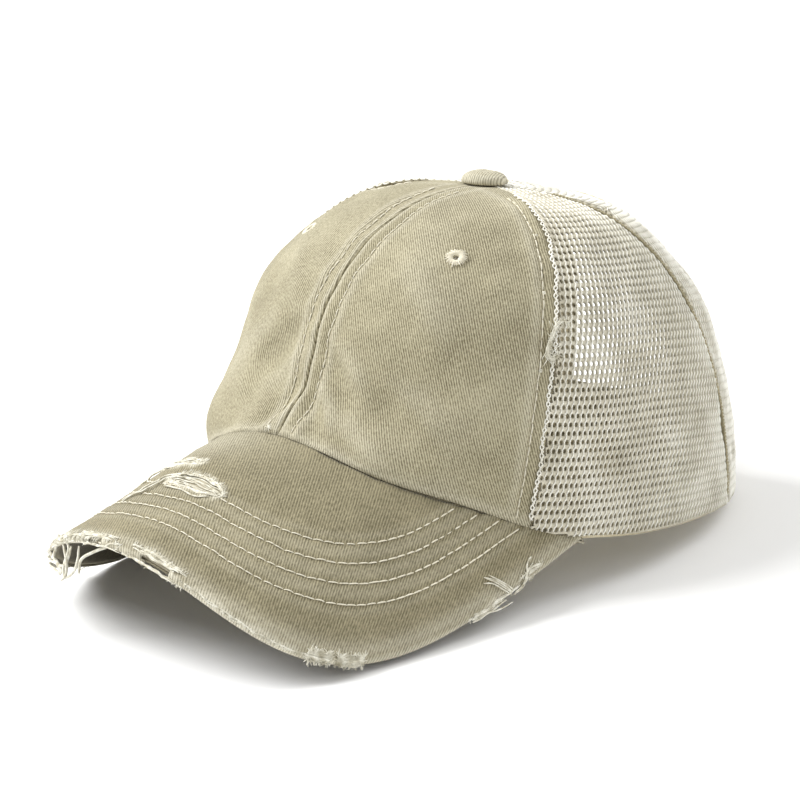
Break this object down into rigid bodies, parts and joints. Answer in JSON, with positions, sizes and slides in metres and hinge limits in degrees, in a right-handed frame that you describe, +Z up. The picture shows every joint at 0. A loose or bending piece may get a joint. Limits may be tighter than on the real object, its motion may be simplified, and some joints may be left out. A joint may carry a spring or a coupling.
{
  "type": "ponytail baseball cap",
  "caption": "Adult cap with twill front panels, net side and back panels, a curved peak, a covered button and a bound ponytail opening closed by a strap.",
  "frame": {"origin": "on the floor, in the middle of the cap's length and width", "axes": "+Z up, front of the cap towards -Y, wearer's left towards +X"},
  "size_m": [0.1686, 0.2562, 0.1222],
  "materials": {
    "twill": "washed cotton twill, khaki, rubbed pale at the seams and edges",
    "twill_under": "cotton twill, darker khaki, unwashed side",
    "net": "knitted polyester net, cream",
    "band": "cotton sweatband, cream",
    "tape": "woven cotton tape, cream",
    "thread": "cotton sewing thread, cream"
  },
  "bodies": {
    "root": {"front_panel_left": "twill", "front_panel_right": "twill", "side_mesh_left": "net", "side_mesh_right": "net", "back_mesh_left": "net", "back_mesh_right": "net", "peak_top": "twill", "peak_underside": "twill_under", "sweatband": "band", "front_seam_tape": "tape", "back_seam_tape": "tape", "side_seam_tape_left": "tape", "side_seam_tape_right": "tape", "rear_seam_tape_left": "tape", "rear_seam_tape_right": "tape", "opening_binding": "tape", "strap_hook": "twill", "strap_loop": "twill", "button": "twill", "eyelet_left": "thread", "eyelet_right": "thread"}
  },
  "joints": []
}
